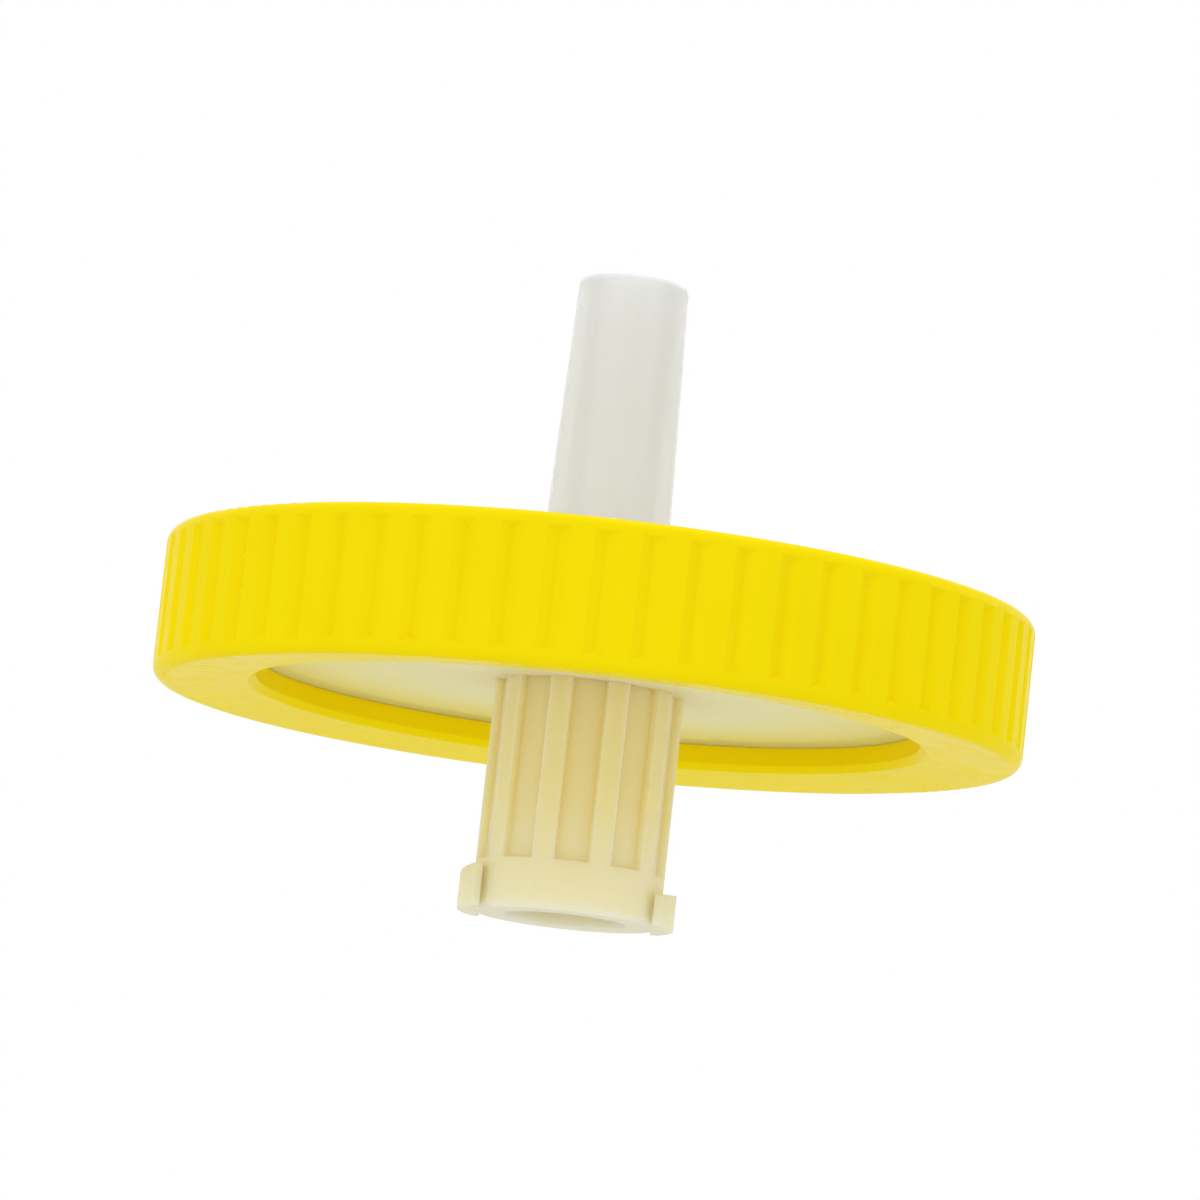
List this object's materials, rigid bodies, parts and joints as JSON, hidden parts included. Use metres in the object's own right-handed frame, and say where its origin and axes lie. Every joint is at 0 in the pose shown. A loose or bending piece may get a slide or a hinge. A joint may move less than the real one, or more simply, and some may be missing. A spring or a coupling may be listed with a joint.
{
  "type": "syringe filter",
  "caption": "Disc syringe filter: translucent housing halves clamp a white membrane inside a fluted yellow rim ring, with a female Luer inlet below and a male Luer outlet above.",
  "frame": {"origin": "centre of the inlet's end face, on which the filter stands", "axes": "+Z is the flow direction, up from the female Luer inlet to the male Luer outlet; the two locking lugs of the inlet lie along +X and -X"},
  "size_m": [0.0314, 0.0314, 0.0233],
  "materials": {
    "natural_polypropylene": "translucent, natural",
    "yellow_polypropylene": "opaque, semi-gloss",
    "membrane_white": "matt, porous"
  },
  "bodies": {
    "root": {"inlet_half": "natural_polypropylene", "outlet_half": "natural_polypropylene", "membrane": "membrane_white", "rim_ring": "yellow_polypropylene"}
  },
  "joints": []
}
